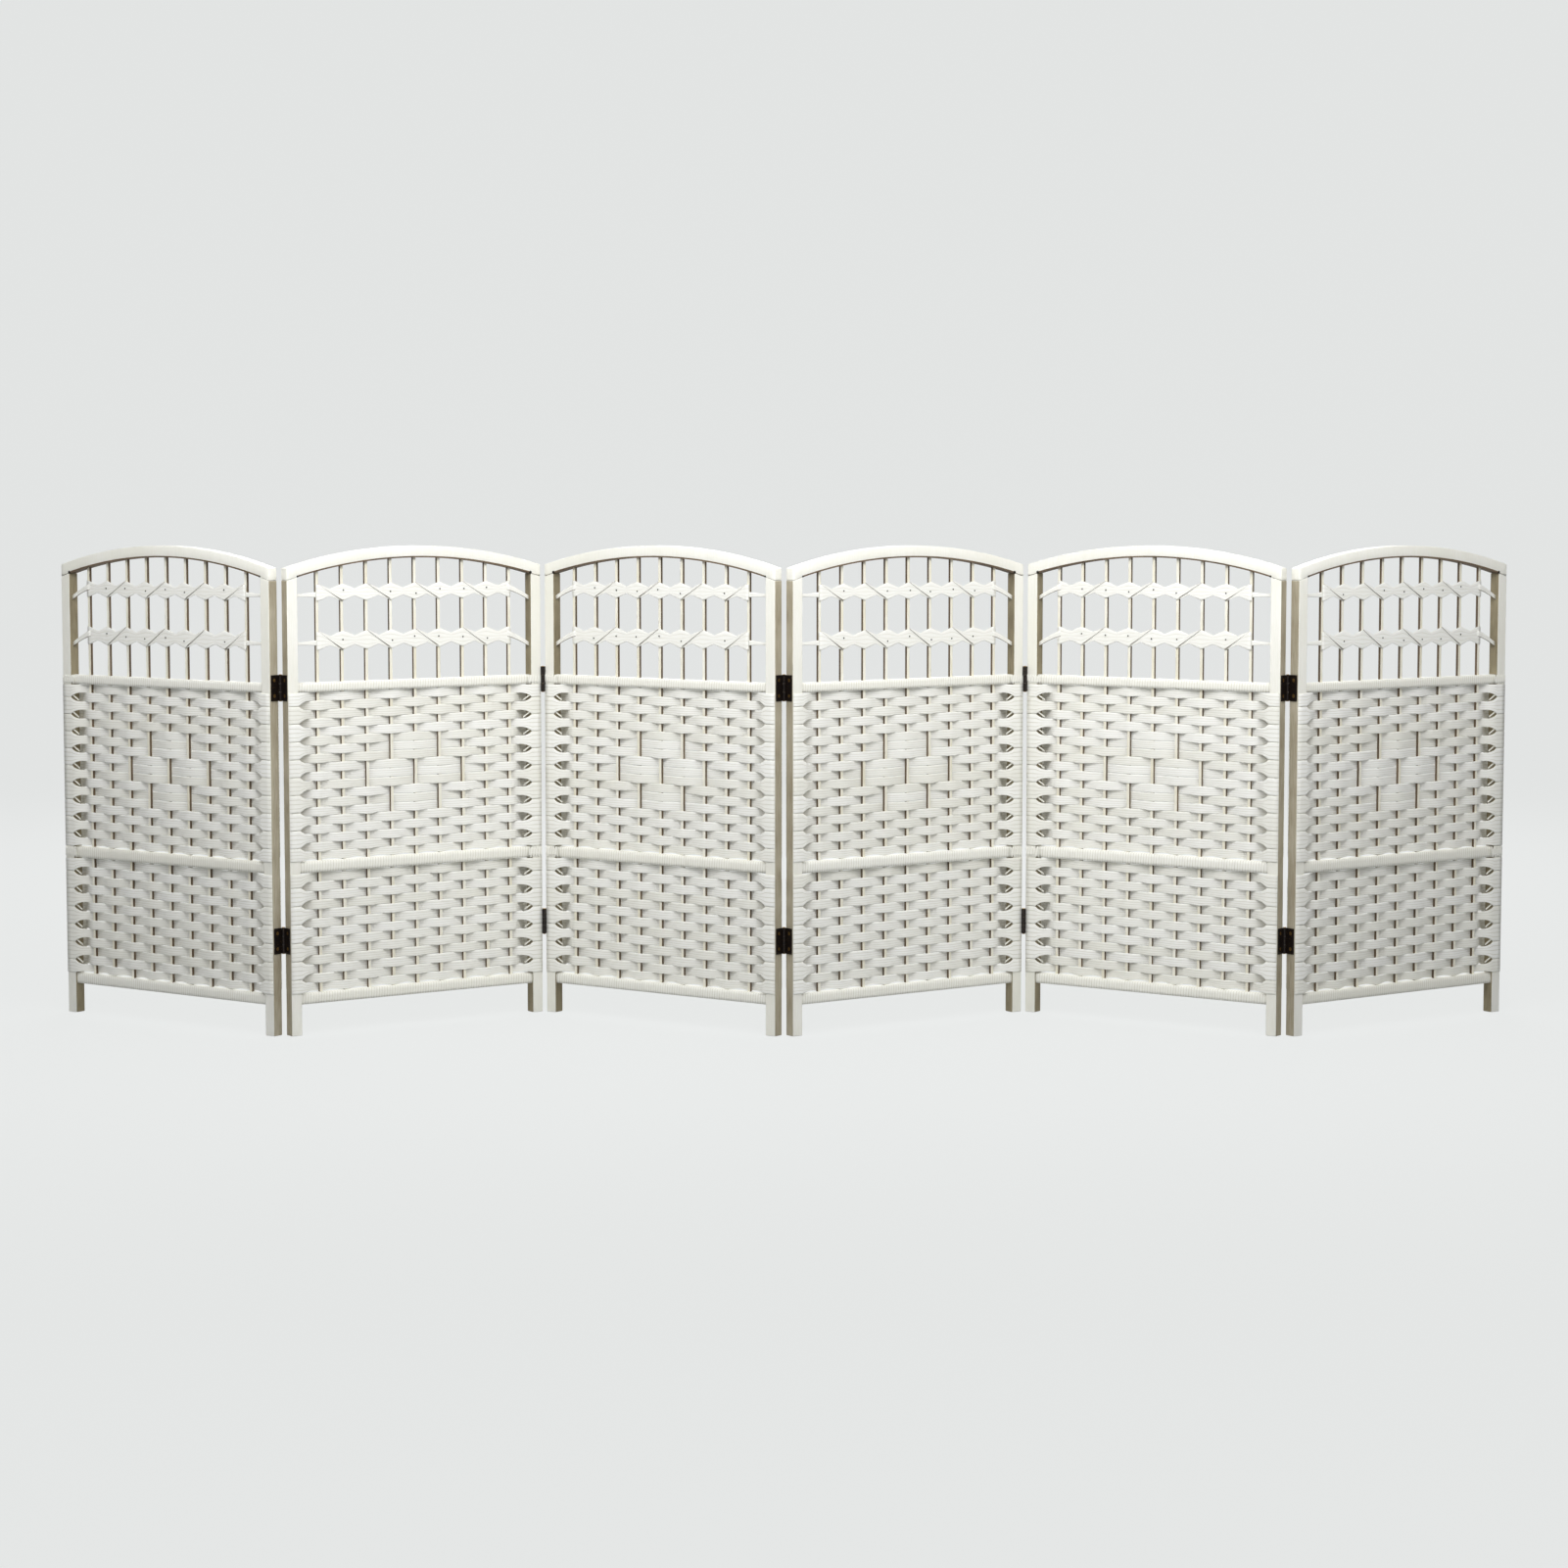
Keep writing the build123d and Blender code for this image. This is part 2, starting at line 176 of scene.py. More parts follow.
def laid_cord(name, pale, deep, groove_shade, cord_width):
    """Rows of thin twisted cord under ivory lacquer: a darker line of painted shade between the
    cords, the slant of the twist on each one, and rows that differ a little in tone."""
    material, tree = new_material(name)
    lay = node(tree, "Attribute", attribute_name="lay").outputs["Vector"]
    parts = node(tree, "SeparateXYZ", {"Vector": lay})
    along, across, tint = parts.outputs
    # One dark line a cord width: painted shade in the crease between two cords
    cords = node(tree, "Math", {0: across, 1: pi / cord_width}, operation="MULTIPLY")
    wave = node(tree, "Math", {0: cords.outputs[0]}, operation="SINE")
    crown = node(tree, "Math", {0: wave.outputs[0]}, operation="ABSOLUTE")
    line = node(tree, "MapRange", {"Value": crown.outputs[0], "From Min": 0.0, "From Max": 0.4})
    # The twist of each cord, 2 mm from turn to turn
    slant = node(tree, "CombineXYZ", {"X": along, "Y": across})
    turned = node(tree, "Mapping", {"Vector": slant.outputs[0], "Rotation": (0, 0, radians(35))})
    twist = node(tree, "TexWave", {"Vector": turned.outputs[0], "Scale": 0.16,
                                   "Distortion": 1.5, "Detail": 1, "Detail Scale": 1.5})
    # Fibres about 0.4 mm wide and 12 mm long
    fibre_place = node(tree, "CombineXYZ", {"X": along, "Y": across, "Z": tint})
    fibre_drawn = node(tree, "Mapping", {"Vector": fibre_place.outputs[0],
                                         "Scale": (0.08, 2.5, 40)})
    fibres = node(tree, "TexNoise", {"Vector": fibre_drawn.outputs[0], "Scale": 1.0,
                                     "Detail": 3})
    tone = node(tree, "Mix", {"Factor": 0.55, "A": fibres.outputs["Fac"], "B": tint})
    spread = node(tree, "MapRange", {"Value": tone.outputs["Result"], "From Min": 0.25,
                                     "From Max": 0.7})
    colour = node(tree, "Mix", {"Factor": spread.outputs[0], "A": linear(deep),
                                "B": linear(pale)}, data_type="RGBA")
    crease_shaded = node(tree, "Mix", {"Factor": line.outputs[0], "A": linear(groove_shade),
                               "B": colour.outputs["Result"]}, data_type="RGBA")
    # A tint below nought marks painted shadow: a dark line along the foot of a band strand where
    # it stands over what lies below
    bare = node(tree, "MapRange", {"Value": tint, "From Min": 0.0, "From Max": -1.0})
    shadow_edged = node(tree, "Mix", {"Factor": bare.outputs[0], "A": crease_shaded.outputs["Result"],
                               "B": linear("6E6250")}, data_type="RGBA")
    height = node(tree, "Mix", {"Factor": 0.4, "A": twist.outputs["Fac"],
                                "B": fibres.outputs["Fac"]})
    relief = node(tree, "Bump", {"Height": height.outputs["Result"], "Strength": 0.35,
                                 "Distance": 0.0002})
    shader = node(tree, "BsdfPrincipled", {
        "Base Color": shadow_edged.outputs["Result"], "Roughness": 0.52,
        "Normal": relief.outputs[0], "IOR": 1.48,
    })
    node(tree, "OutputMaterial", {"Surface": shader.outputs[0]})
    return material


def lacquered_steel(name):
    """Pressed steel under dark bronze lacquer: nearly black, glossy, with small flecks rubbed
    through to a dull brass colour, which also serve as painted glints on the leaves."""
    material, tree = new_material(name)
    place = node(tree, "TexCoord").outputs["Object"]
    # Rubbed flecks of about 2 mm: brass wear that also stands in for glints as painted
    # highlights
    flecks = node(tree, "TexNoise", {"Vector": place, "Scale": 460, "Detail": 5,
                                     "Roughness": 0.65})
    rubbed = node(tree, "MapRange", {"Value": flecks.outputs["Fac"], "From Min": 0.6,
                                     "From Max": 0.7})
    colour = node(tree, "Mix", {"Factor": rubbed.outputs[0], "A": linear("1C1512"),
                                "B": linear("8C7650")}, data_type="RGBA")
    metal = node(tree, "MapRange", {"Value": rubbed.outputs[0], "To Min": 0.35, "To Max": 1.0})
    # Orange peel in the lacquer, about 1.5 mm
    peel = node(tree, "TexNoise", {"Vector": place, "Scale": 650, "Detail": 2})
    sheen = node(tree, "MapRange", {"Value": peel.outputs["Fac"], "To Min": 0.22,
                                    "To Max": 0.42})
    relief = node(tree, "Bump", {"Height": peel.outputs["Fac"], "Strength": 0.2,
                                 "Distance": 0.0001})
    shader = node(tree, "BsdfPrincipled", {
        "Base Color": colour.outputs["Result"], "Metallic": metal.outputs[0],
        "Roughness": sheen.outputs[0], "Normal": relief.outputs[0],
    })
    node(tree, "OutputMaterial", {"Surface": shader.outputs[0]})
    return material


def plated_steel(name, pale, deep, rough):
    """Small turned steel parts: plated, with fine turning marks and dull spots."""
    material, tree = new_material(name)
    place = node(tree, "TexCoord").outputs["Object"]
    # Dull spots of about 2 mm
    spots = node(tree, "TexNoise", {"Vector": place, "Scale": 480, "Detail": 3})
    colour = node(tree, "Mix", {"Factor": spots.outputs["Fac"], "A": linear(deep),
                                "B": linear(pale)}, data_type="RGBA")
    sheen = node(tree, "MapRange", {"Value": spots.outputs["Fac"], "To Min": rough,
                                    "To Max": rough + 0.25})
    relief = node(tree, "Bump", {"Height": spots.outputs["Fac"], "Strength": 0.15,
                                 "Distance": 0.0001})
    shader = node(tree, "BsdfPrincipled", {
        "Base Color": colour.outputs["Result"], "Metallic": 1.0,
        "Roughness": sheen.outputs[0], "Normal": relief.outputs[0],
    })
    node(tree, "OutputMaterial", {"Surface": shader.outputs[0]})
    return material


ivory_enamel = painted_pine("ivory_enamel_on_pine", "F6F5EE", "EFEEE3")
# Brown of bare cane, made darker as painted shade on the sides of the canes
brown_side = bare_wood("bare_cane_brown_and_shade", "77644E", "483A2B")
# Bare pine at the sides of the posts, darkened as painted shade: less at the outer ends, more on
# the side towards the canes
bare_end_and_shade = bare_wood("unpainted_pine_end_in_shade", "C3BCA8", "958A73")
shaded_side = bare_wood("unpainted_pine_side_in_shade", "A79C80", "73684F")
cane_enamel = painted_pine("ivory_enamel_on_cane", "F9F7EC", "EAE4CE")
# The third colour of each is the painted shade in the creases between cords
row_cord = laid_cord("lacquered_woven_cord", "FBFBF7", "EEEDE2", "D6D4C6", CORD_WIDTH)
band_cord = laid_cord("lacquered_band_cord", "F9F9F4", "F4F3EB", "E2E0D4", CORD_WIDTH)
rail_cord = laid_cord("lacquered_wrapping_cord", "FAFAF4", "ECEADC", "D3CFBD", TURN_PITCH)
bronze_lacquer = lacquered_steel("bronze_lacquer_on_steel")
brassed_steel = plated_steel("brassed_steel", "C9A86A", "7D6238", 0.28)
# Kept dark so that the corner heads read as painted shade
nail_steel = plated_steel("blued_nail_steel", "45403A", "211E1B", 0.4)


# Making pieces

def panel_matrix(number):
    """Where a panel stands, from its own millimetres to metres of the whole screen."""
    turn = radians(-FOLD_ANGLE if number % 2 else FOLD_ANGLE)
    across = (number - (PANEL_COUNT + 1) / 2) * PANEL_PITCH * MM
    place = Matrix.Translation((across, 0, 0)) @ Matrix.Rotation(turn, 4, "Z")
    return place @ Matrix.Scale(MM, 4)


def set_down(bm, number, name, materials, slot, *nodes):
    """Turn a finished bmesh into a piece of its panel, standing for these CAD nodes."""
    bmesh.ops.transform(bm, matrix=panel_matrix(number), verts=bm.verts)
    mesh = bpy.data.meshes.new(f"panel_{number}_{name}")
    bm.to_mesh(mesh)
    bm.free()
    for material in materials:
        mesh.materials.append(material)
    piece = bpy.data.objects.new(mesh.name, mesh)
    bpy.context.scene.collection.objects.link(piece)
    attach(piece, f"panel_{number}")
    if nodes:
        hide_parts(*[f"panel_{number}_{node_name}" for node_name in nodes])


def add_block(bm, low, high):
    """A plain block between two corners."""
    low, high = Vector(low), Vector(high)
    place = Matrix.Translation((low + high) / 2) @ Matrix.Diagonal((*(high - low), 1))
    return bmesh.ops.create_cube(bm, size=1, matrix=place)["verts"]


def soften(bm, radius, segments=2):
    """Round all the edges of what is in a bmesh."""
    bmesh.ops.bevel(bm, geom=bm.edges[:], offset=radius, offset_type="OFFSET",
                    segments=segments, profile=0.5, affect="EDGES", material=-1)


def shade_round(bm):
    """Smooth shading on every face."""
    for face in bm.faces:
        face.smooth = True


def height_on_circle(radius, x):
    """The height of a circle about the centre of the arch, x from the middle of the panel."""
    return ARCH_CENTRE + sqrt(radius**2 - x**2)


def seal(bm):
    """Join the seams, fill the open ends and turn the faces outwards."""
    bmesh.ops.remove_doubles(bm, verts=bm.verts, dist=0.001)
    bmesh.ops.holes_fill(bm, edges=[e for e in bm.edges if e.is_boundary], sides=0)
    bmesh.ops.recalc_face_normals(bm, faces=bm.faces)


def close_ends(bm):
    """Seal rolled grids and shade them round."""
    seal(bm)
    shade_round(bm)


# Posts

def dress_post(number, end, name):
    """A square post with eased edges: painted in front and behind, bare at both sides, which
    carry painted shade, deeper on the one towards the canes."""
    bm = bmesh.new()
    inner, outer = sorted((end * INNER_HALF_WIDTH, end * HALF_WIDTH), key=abs)
    low, high = min(inner, outer), max(inner, outer)
    add_block(bm, (low, -HALF_POST, 0), (high, HALF_POST, SCREEN_HEIGHT))
    for vert in bm.verts:
        if vert.co.z > 0:
            vert.co.z = height_on_circle(UNDERSIDE_RADIUS, vert.co.x) - 0.2
    soften(bm, 1.0)
    for face in bm.faces:
        outward = face.normal.x * end
        # Slot 1, the outer end, and slot 2, the side towards the canes, carry painted shade
        face.material_index = 1 if outward > 0.9 else 2 if outward < -0.9 else 0
        face.smooth = face.calc_area() < 1500
    set_down(bm, number, f"{name}_painted", [ivory_enamel, bare_end_and_shade, shaded_side],
             "painted_wood", name)


# The arch

def add_bow(bm, inner_radius, outer_radius, half_depth, reach):
    """A bow about the centre of the arch, cut upright at both ends."""
    section = bmesh.ops.create_grid(bm, x_segments=1, y_segments=1, size=0.5)["verts"]
    for vert in section:
        radius = inner_radius if vert.co.x < 0 else outer_radius
        vert.co = Vector((0, half_depth * (1 if vert.co.y > 0 else -1), ARCH_CENTRE + radius))
    turn = radians(18)
    centre = (0, 0, ARCH_CENTRE)
    bmesh.ops.rotate(bm, cent=centre, matrix=Matrix.Rotation(-turn, 3, "Y"), verts=section)
    geom = bm.verts[:] + bm.edges[:] + bm.faces[:]
    bmesh.ops.spin(bm, geom=geom, cent=centre, axis=(0, 1, 0), angle=2 * turn, steps=48,
                   use_merge=False, use_duplicate=False)
    for end in (LEFT, RIGHT):
        geom = bm.verts[:] + bm.edges[:] + bm.faces[:]
        bmesh.ops.bisect_plane(bm, geom=geom, plane_co=(end * reach, 0, 0),
                               plane_no=(end, 0, 0), clear_outer=True)
    seal(bm)


def dress_arch(number):
    """The painted bow with its edges eased, bare underneath."""
    bm = bmesh.new()
    add_bow(bm, UNDERSIDE_RADIUS, ARCH_RADIUS, HALF_POST, HALF_WIDTH)
    long_edges = [e for e in bm.edges if len(e.link_faces) == 2 and e.calc_face_angle() > 1]
    bmesh.ops.bevel(bm, geom=long_edges, offset=1.2, offset_type="OFFSET", segments=2,
                    profile=0.5, affect="EDGES", material=-1)
    for face in bm.faces:
        middle = face.calc_center_median()
        from_centre = (middle - Vector((0, middle.y, ARCH_CENTRE))).length
        face.material_index = 1 if from_centre < UNDERSIDE_RADIUS + 0.3 else 0
        face.smooth = True
    set_down(bm, number, "top_arch_painted", [ivory_enamel, brown_side], "painted_wood",
             "top_arch")


def dress_arch_shade_lath(number):
    """A thin brown lath under the bow, a little proud of its faces: painted shade, a dark strip
    that stands for the shadow line under the bow.
    """
    bm = bmesh.new()
    add_bow(bm, UNDERSIDE_RADIUS - 0.15, UNDERSIDE_RADIUS + 2.2, HALF_POST + 0.15,
            INNER_HALF_WIDTH - 0.5)
    set_down(bm, number, "arch_shade_lath", [brown_side], "brown_cane")


# Rails

def add_wrapped_bar(bm, lay, span, level, size, middle_y, tint):
    """A bar wound with cord: a grid rolled round the bar, a ridge for every turn of the cord."""
    per_turn, around = 4, 16
    length = span[1] - span[0]
    turns = max(round(length / TURN_PITCH), 1)
    columns = turns * per_turn
    made = bmesh.ops.create_grid(bm, x_segments=columns, y_segments=around, size=1)["verts"]
    half_depth, half_height = size[0] / 2, size[1] / 2
    for vert in made:
        along = (vert.co.x + 1) / 2
        angle = (vert.co.y + 1) * pi
        ridge = abs(sin(pi * (along * turns + angle / (2 * pi))))
        shape = max(abs(cos(angle)), abs(sin(angle))) ** 0.75
        grow = 1 - 0.45 / min(half_depth, half_height) * (1 - ridge)
        x = span[0] + along * length
        y = middle_y + half_depth * cos(angle) / shape * grow
        z = level + half_height * sin(angle) / shape * grow
        y = max(min(y, middle_y + half_depth), middle_y - half_depth)
        z = max(min(z, level + half_height), level - half_height)
        vert[lay] = (angle * half_height, (along * turns + angle / (2 * pi)) * TURN_PITCH, tint)
        vert.co = (x, y, z)


def dress_rails(number, rng):
    """Three rails wound with thin cord, which laps the front of the far post at two of them."""
    bm = bmesh.new()
    lay = bm.verts.layers.float_vector.new("lay")
    reach = INNER_HALF_WIDTH - 0.1
    for level, height in RAILS:
        add_wrapped_bar(bm, lay, (-reach, reach), level, (RAIL_DEPTH, height), 0,
                        rng.uniform(0.45, 0.7))
    far = LEFT if number % 2 else RIGHT
    lap = sorted((far * (INNER_HALF_WIDTH - 7), far * (HALF_WIDTH - 0.6)))
    for level, height in RAILS[:2]:
        add_wrapped_bar(bm, lay, lap, level, (1.1, height), -HALF_POST - 0.65, 0.6)
    close_ends(bm)
    set_down(bm, number, "rails_wound", [rail_cord], "wrapped_rail", "rails")


# Canes

def dress_canes(number):
    """Square canes with eased corners: painted in front and behind, brown at the sides, a
    bare-cane brown deepened with painted shade.
    """
    bm = bmesh.new()
    half = CANE_SIZE / 2
    for x in CANE_PLACES:
        top = height_on_circle(UNDERSIDE_RADIUS, x) + CANE_SOCKET - 0.4
        add_block(bm, (x - half, -half, RAILS[2][0]), (x + half, half, top))
    soften(bm, 0.45)
    for face in bm.faces:
        face.material_index = 1 if abs(face.normal.x) > 0.6 else 0
    set_down(bm, number, "canes_split", [cane_enamel, brown_side], "brown_cane", "canes")


# Strands

def ribbon_section(cords):
    """Points round a strand of cords, each (part of the height, part of half the depth)."""
    ups = [0, 0.025, *[n / (2 * cords) for n in range(1, 2 * cords)], 0.975, 1]
    outs = [0, 0.8, *[1.0 if n % 2 else 0.72 for n in range(1, 2 * cords)], 0.8, 0]
    front = [(up, FRONT * out) for up, out in zip(ups, outs)]
    back = [(up, BACK * out) for up, out in zip(ups, outs)]
    return front + back[-2::-1]


def add_ribbon(bm, lay, samples, cords, tint, shadow_foot=()):
    """A flat strand of cords side by side: a grid rolled round the samples of its middle line,
    each (x, y, foot, head, thickness), with a ridge for each cord on both faces."""
    section = ribbon_section(cords)
    last, around = len(samples) - 1, len(section) - 1
    made = bmesh.ops.create_grid(bm, x_segments=last, y_segments=around, size=1)["verts"]
    for vert in made:
        column = round((vert.co.x + 1) / 2 * last)
        x, y, foot, head, thickness = samples[column]
        up, out = section[round((vert.co.y + 1) / 2 * around)]
        # Listed columns take a line of painted shadow along their foot
        cut = column in shadow_foot and up < 0.03
        vert[lay] = (x, up * cords * CORD_WIDTH, -1 if cut else tint)
        vert.co = (x, y + out * thickness / 2, foot + up * (head - foot))


def strand_side(row, place, reach):
    """The side on which a row passes an upright; place 0 is the left post."""
    side = BACK if (row + place) % 2 == 0 else FRONT
    return -side if abs(place - (CANE_COUNT + 1) / 2) <= reach else side


def weave_row(field, row, pitch, rng):
    """The samples of one woven row: it swells where it passes an upright with the rows above
    and below on the other side, and draws in between."""
    top, _, rows = field
    diamond = DIAMOND_ROWS if rows == FIELDS[0][2] else {}
    middle = top - (row - 0.5) * pitch
    wander = 0.2 + 0.35 * row / rows
    uprights = [-INNER_HALF_WIDTH - HALF_POST, *CANE_PLACES, INNER_HALF_WIDTH + HALF_POST]
    stops = []
    for place, x in enumerate(uprights):
        side = strand_side(row, place, diamond.get(row, -1))
        at_post = place in (0, CANE_COUNT + 1)
        offset = POST_STRAND_OFFSET if at_post else STRAND_OFFSET + rng.uniform(0, 0.25)
        grown = []
        for other in (row - 1, row + 1):
            inside = 1 <= other <= rows
            opposite = strand_side(other, place, diamond.get(other, -1)) != side
            free = pitch - 0.12 if at_post else 7.7 + rng.uniform(-0.4, 0.3)
            grown.append(free if inside and opposite else pitch / 2 - 0.22)
        lift = 0 if at_post else rng.uniform(-wander, wander) * 0.4
        head, foot = middle + grown[0] + lift, middle - grown[1] + lift
        if row == 1:
            head = min(head, top - 0.4)
        if at_post:
            inner = x - HALF_POST if x > 0 else x + HALF_POST
            outer = x + HALF_POST - 0.6 if x > 0 else x - HALF_POST + 0.6
            for px in sorted((inner, outer)):
                stops.append((px, side * offset, foot, head, True))
        else:
            stops.append((x, side * offset, foot, head, False))
    samples = []
    steps = 8
    for (xa, ya, fa, ha, flat_a), (xb, yb, fb, hb, flat_b) in zip(stops, stops[1:]):
        flat = flat_a and flat_b
        count = 2 if flat else steps
        waist_head = middle + pitch / 2 - WAIST_INSET
        waist_foot = middle - (pitch / 2 - WAIST_INSET if row < rows else LAST_ROW_WAIST)
        for step in range(count):
            t = step / count
            ease = (1 - cos(pi * t)) / 2
            draw = 0 if flat else sin(pi * t) ** (0.8 if flat_a or flat_b else 2)
            head = (ha + (hb - ha) * ease) * (1 - draw) + waist_head * draw
            foot = (fa + (fb - fa) * ease) * (1 - draw) + waist_foot * draw
            samples.append((xa + (xb - xa) * t, ya + (yb - ya) * ease, foot, head,
                            STRAND_THICKNESS))
    x, y, foot, head, _ = stops[-1]
    samples.append((x, y, foot, head, STRAND_THICKNESS))
    return samples


def add_lacing(bm, lay, end, level):
    """A single cord that slants across the opening where a row goes behind the far post."""
    samples = []
    for step in range(7):
        t = step / 6
        x = INNER_HALF_WIDTH - 13 + 12.5 * t
        z = level - 4.5 + 9 * t
        samples.append((end * x, -5.5 - 2.5 * t, z - 1.3, z + 1.3, 1.6))
    if end < 0:
        samples.reverse()
    add_ribbon(bm, lay, samples, 1, 0.1)


def dress_weave(number, rng):
    """The two woven fields, every row four cords side by side."""
    bm = bmesh.new()
    lay = bm.verts.layers.float_vector.new("lay")
    far = LEFT if number % 2 else RIGHT
    for field in FIELDS:
        top, bottom, rows = field
        pitch = (top - bottom) / rows
        for row in range(1, rows + 1):
            add_ribbon(bm, lay, weave_row(field, row, pitch, rng), CORDS,
                       rng.uniform(0.3, 0.8))
            if strand_side(row, 0, -1) == BACK:
                add_lacing(bm, lay, far, top - (row - 0.5) * pitch)
    close_ends(bm)
    set_down(bm, number, "weave_cords", [row_cord], "woven_strand", "weave")


# Open bands

def band_half_height(band, x):
    """Half the height of a band: tall at each cane and drawn in between two."""
    _, tall, waist = band
    turn = abs(x / CANE_SPACING - round(x / CANE_SPACING)) * 2
    return (tall + (waist - tall) * turn ** 1.1) / 2


def add_band(bm, lay, band, near, rng):
    """A band of overlapping lengths of flat strand, two canes each: the end of every length lies
    on the next one towards the near post and is cut along a slant."""
    level, tall, _ = band
    cane = CANE_SPACING
    for first in (-5, -3, -1, 1, 3):
        whole_start, whole_stop = first * cane, (first + 3) * cane
        start, stop = max(whole_start, -BAND_END), min(whole_stop, BAND_END)
        steps = max(round((stop - start) / cane * 8), 4)
        samples, cut = [], set()
        for step in range(steps + 1):
            x = start + (stop - start) * step / steps
            half = band_half_height(band, x)
            head, foot = level + half, level - half
            over = (whole_stop - x) / cane
            under = (x - whole_start) / cane
            # Within a cane of its end, where a length lies over the next, the foot rises on a
            # slant and takes a line of painted shadow
            if over < 1:
                foot = max(foot, level + tall / 2 * (1 - 2 * over))
                cut.add(steps - step if near < 0 else step)
            if under < 1:
                head = min(head, level + tall / 2 * (2 * under - 1) + 2.5)
            head = max(head, foot + 0.4)
            along = step / steps
            y = -(CANE_SIZE / 2 + 0.75 + 1.8 * along)
            samples.append((near * x, y, foot, head, STRAND_THICKNESS))
        if near < 0:
            samples.reverse()
        add_ribbon(bm, lay, samples, CORDS, rng.uniform(0.45, 0.85), cut)


def add_band_tails(bm, lay, band, near):
    """The thin ends of a band: level to the near post and sloping down to the far one."""
    level, tall, _ = band
    edge = 4 * CANE_SPACING
    for end, start, drop, half in ((near, -3.0, 1.0, 2.3), (-near, 3.0, 18.0, 3.6)):
        samples = []
        for step in range(9):
            t = step / 8
            x = edge - 4 + (INNER_HALF_WIDTH - 0.2 - edge + 4) * t
            size = half + (5 - half) * (1 - t) ** 2
            middle = level + start - drop * t ** 1.3
            samples.append((end * x, -CANE_SIZE / 2 - 1.0 + 0.9 * t, middle - size,
                            middle + size, 1.2))
        if end < 0:
            samples.reverse()
        # The tail to the far post takes a line of painted shadow along its whole foot
        add_ribbon(bm, lay, samples, 2, 0.6, range(9) if end != near else ())


def dress_bands(number, rng):
    """Both open bands of a panel."""
    near = RIGHT if number % 2 else LEFT
    bm = bmesh.new()
    lay = bm.verts.layers.float_vector.new("lay")
    for band in BANDS:
        add_band(bm, lay, band, near, rng)
        add_band_tails(bm, lay, band, near)
    close_ends(bm)
    set_down(bm, number, "band_cords", [band_cord], "band_strand", "lattice")


# Nails

def add_nail(bm, x, y, z, radius):
    """A domed nail head that faces forward."""
    head = bmesh.ops.create_uvsphere(bm, u_segments=10, v_segments=6, radius=radius)["verts"]
    bmesh.ops.scale(bm, vec=(1, 0.45, 1), verts=head)
    bmesh.ops.translate(bm, vec=(x, y, z), verts=head)


def dress_nails(number, rng):
    """Small nails through the bands into the canes, and in each corner of the opening a dark
    nail head that is painted shade for that corner.
    """
    near = RIGHT if number % 2 else LEFT
    bm = bmesh.new()
    for level, _, _ in BANDS:
        for place in (-3, -2, -1, 0, 1, 3):
            add_nail(bm, near * place * CANE_SPACING + rng.uniform(-2, 2),
                     -CANE_SIZE / 2 - 2.9, level + rng.uniform(-4, 4), 1.25)
    # In each top corner of the opening a dark nail head, put there as painted shade; bigger at
    # the far post
    for end in (LEFT, RIGHT):
        x = end * (INNER_HALF_WIDTH - 0.5)
        size = 1.6 if end == near else 2.5
        add_nail(bm, x, -HALF_POST - 0.2, height_on_circle(UNDERSIDE_RADIUS, x) + 1.0, size)
    shade_round(bm)
    set_down(bm, number, "nails", [nail_steel], "screw_metal")


# The whole screen

for panel in range(1, PANEL_COUNT + 1):
    chance = random.Random(1000 + panel)
    dress_post(panel, LEFT, "left_post")
    dress_post(panel, RIGHT, "right_post")
    dress_arch(panel)
    dress_arch_shade_lath(panel)
    dress_rails(panel, chance)
    dress_canes(panel)
    dress_weave(panel, chance)
    dress_bands(panel, chance)
    dress_nails(panel, chance)

for name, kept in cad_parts.items():
    if name.endswith("hinge_leaves"):
        finish = bronze_lacquer
    elif name.endswith("hinge_screws") or name.startswith("hinge_pins"):
        finish = brassed_steel
    else:
        continue
    kept.data.materials.clear()
    kept.data.materials.append(finish)


# The studio

def studio_paper(name, shade):
    """Seamless background paper: even and matt, and steady where the camera looks at it."""
    material, tree = new_material(name)
    place = node(tree, "TexCoord").outputs["Object"]
    # The tooth of the paper, about 4 mm
    tooth = node(tree, "TexNoise", {"Vector": place, "Scale": 250, "Detail": 2})
    relief = node(tree, "Bump", {"Height": tooth.outputs["Fac"], "Strength": 0.1,
                                 "Distance": 0.0005})
    matt = node(tree, "BsdfDiffuse", {"Color": linear(FLOOR_SHADE),
                                      "Normal": relief.outputs[0]})
    even = node(tree, "Emission", {"Color": linear(shade), "Strength": 1.0})
    ray = node(tree, "LightPath")
    seen = node(tree, "Math", {0: ray.outputs["Is Camera Ray"],
                               1: ray.outputs["Is Glossy Ray"]}, operation="MAXIMUM")
    seen = node(tree, "Math", {0: seen.outputs[0], 1: ray.outputs["Is Transmission Ray"]},
                operation="MAXIMUM")
    share = node(tree, "Math", {0: seen.outputs[0], 1: PAPER_SHARE}, operation="MULTIPLY")
    mixed = node(tree, "MixShader", {0: share.outputs[0], 1: matt.outputs[0],
                                     2: even.outputs[0]})
    node(tree, "OutputMaterial", {"Surface": mixed.outputs[0]})
    return material


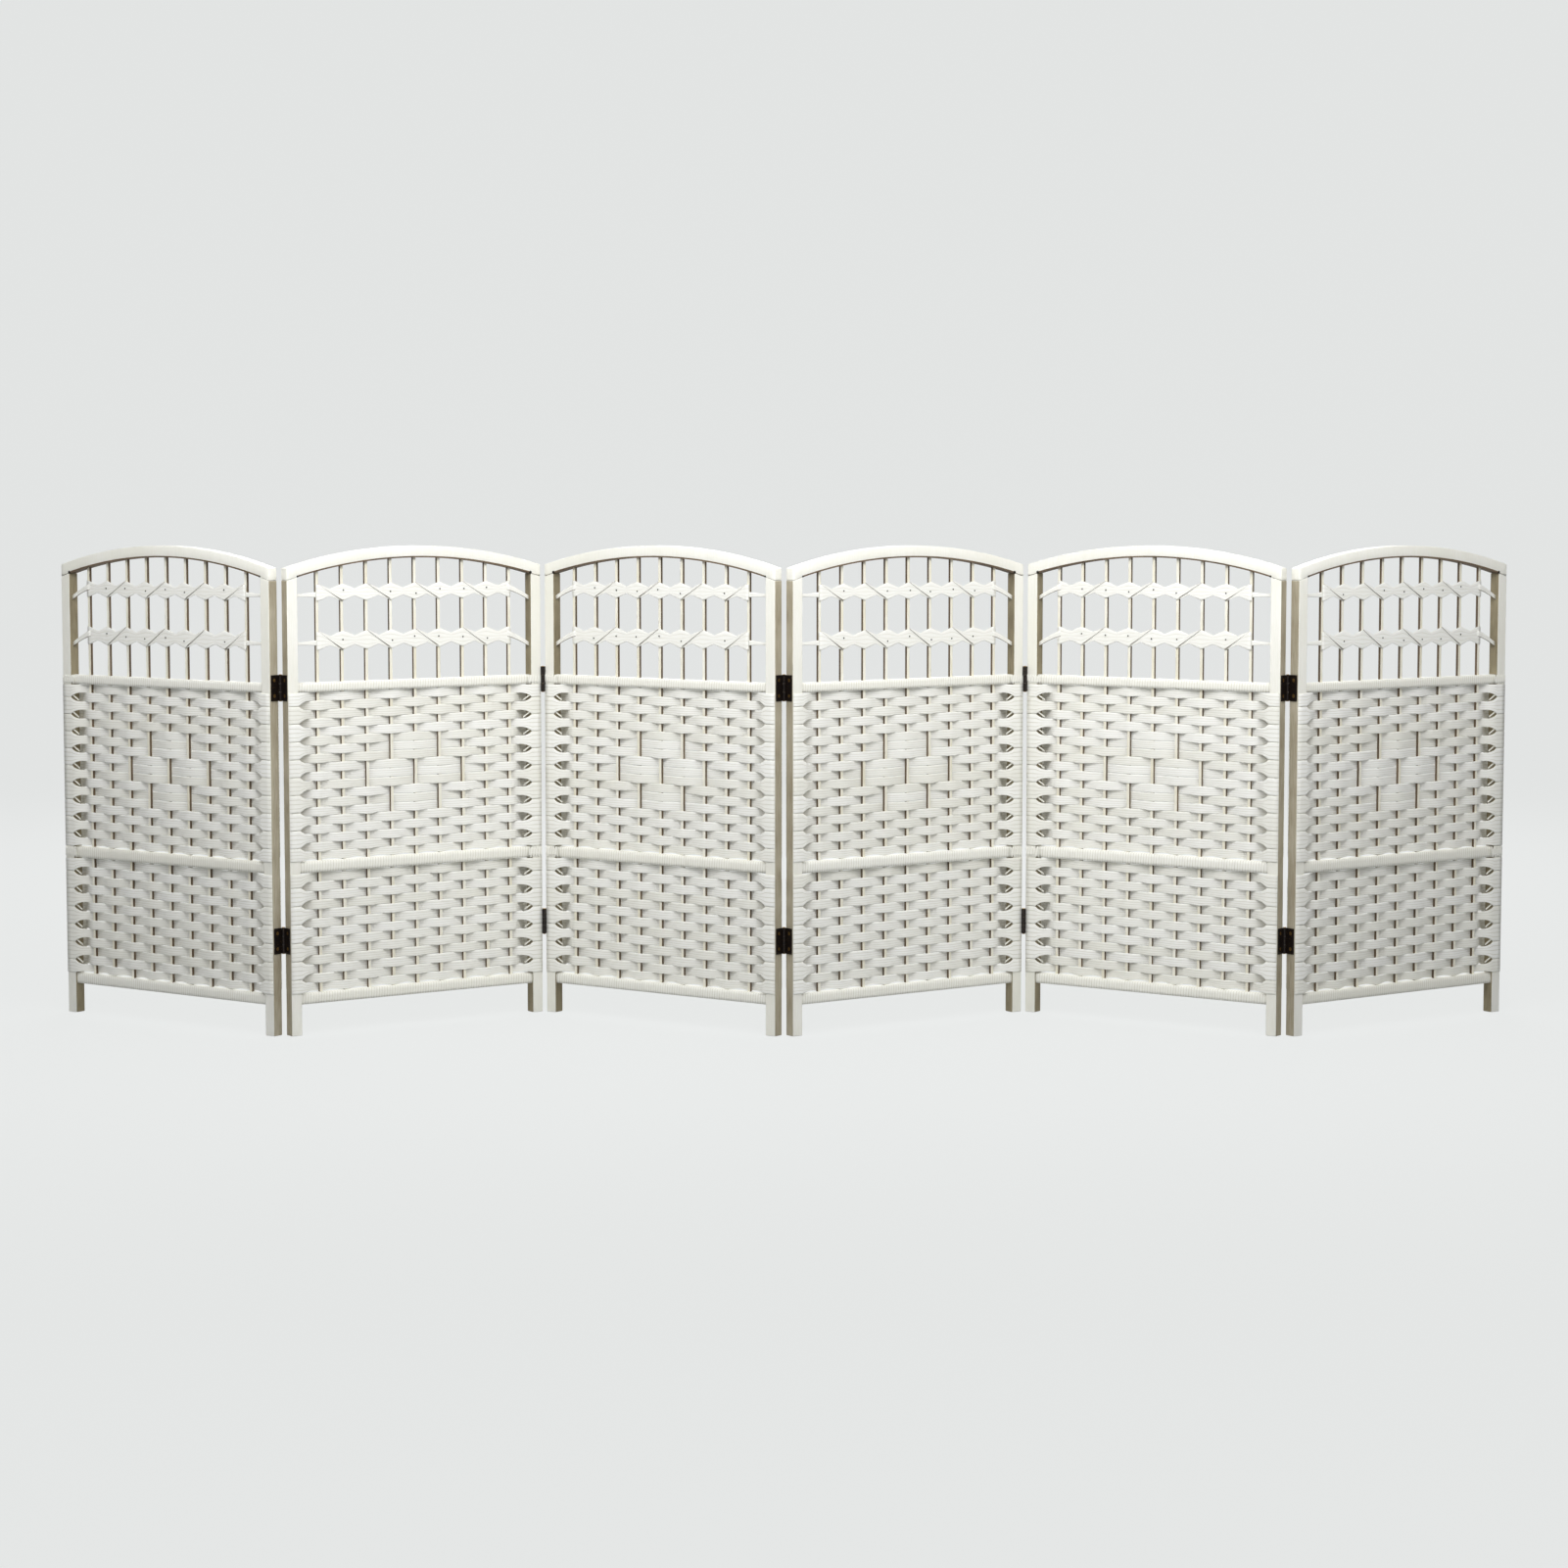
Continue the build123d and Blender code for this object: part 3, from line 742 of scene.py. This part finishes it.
def set_stage():
    """A floor that turns up into a backdrop in one sweep."""
    bm = bmesh.new()
    edge = bmesh.ops.create_grid(bm, x_segments=1, y_segments=1, size=0.5)["verts"]
    for vert in edge:
        vert.co = (12 * (1 if vert.co.x > 0 else -1), -9 if vert.co.y < 0 else 4, 0)
    far = [e for e in bm.edges if all(v.co.y > 3 for v in e.verts)]
    bmesh.ops.spin(bm, geom=far, cent=(0, 4, 3), axis=(1, 0, 0), angle=radians(90), steps=16,
                   use_merge=False, use_duplicate=False)
    top = [e for e in bm.edges if all(v.co.z > 2.99 for v in e.verts)]
    wall = bmesh.ops.extrude_edge_only(bm, edges=top)["geom"]
    bmesh.ops.translate(bm, vec=(0, 0, 5), verts=[v for v in wall if hasattr(v, "co")])
    shade_round(bm)
    mesh = bpy.data.meshes.new("studio_sweep")
    bm.to_mesh(mesh)
    bm.free()
    mesh.materials.append(studio_paper("background_paper", PAPER_SHADE))
    sweep = bpy.data.objects.new("studio_sweep", mesh)
    bpy.context.scene.collection.objects.link(sweep)


def add_lamp(name, place, target, size, power):
    """A soft rectangular lamp turned to a point, unseen by the camera."""
    lamp = bpy.data.lights.new(name, "AREA")
    lamp.shape = "RECTANGLE"
    lamp.size, lamp.size_y = size
    lamp.energy = power
    holder = bpy.data.objects.new(name, lamp)
    bpy.context.scene.collection.objects.link(holder)
    holder.location = place
    holder.rotation_euler = (Vector(target) - Vector(place)).to_track_quat("-Z", "Y").to_euler()
    holder.visible_camera = False


def set_air():
    """Even pale light from all round, seen by the camera in the shade of the paper."""
    world = bpy.data.worlds.new("studio_air")
    world.use_nodes = True
    tree = world.node_tree
    tree.nodes.clear()
    glow = node(tree, "Background", {"Color": linear("FFFFFF"), "Strength": 0.34})
    seen = node(tree, "Background", {"Color": linear(PAPER_SHADE),
                                     "Strength": AIR_MATCH})
    ray = node(tree, "LightPath")
    mixed = node(tree, "MixShader", {0: ray.outputs["Is Camera Ray"], 1: glow.outputs[0],
                                     2: seen.outputs[0]})
    node(tree, "OutputWorld", {"Surface": mixed.outputs[0]})
    bpy.context.scene.world = world


set_stage()
add_lamp("front_softbox", (0, -0.8, 1.3), (0, 0, 0.6), (3.0, 0.4), 21)
add_lamp("far_softbox", (0, -4.5, 2.0), (0, 0, 0.4), (3.0, 2.0), 25)
add_lamp("back_softbox", (0, 3.0, 2.2), (0, 0, 0.4), (3.0, 1.5), 75)
set_air()

camera_data = bpy.data.cameras.new("photo_camera")
camera_data.lens = 80.76
camera_data.sensor_width = 36
camera = bpy.data.objects.new("photo_camera", camera_data)
camera.location = (0, -5.5, 0.857)
camera.rotation_euler = (radians(90 - 4.97), 0, 0)
bpy.context.scene.collection.objects.link(camera)
bpy.context.scene.camera = camera
bpy.context.scene.view_settings.view_transform = "Standard"
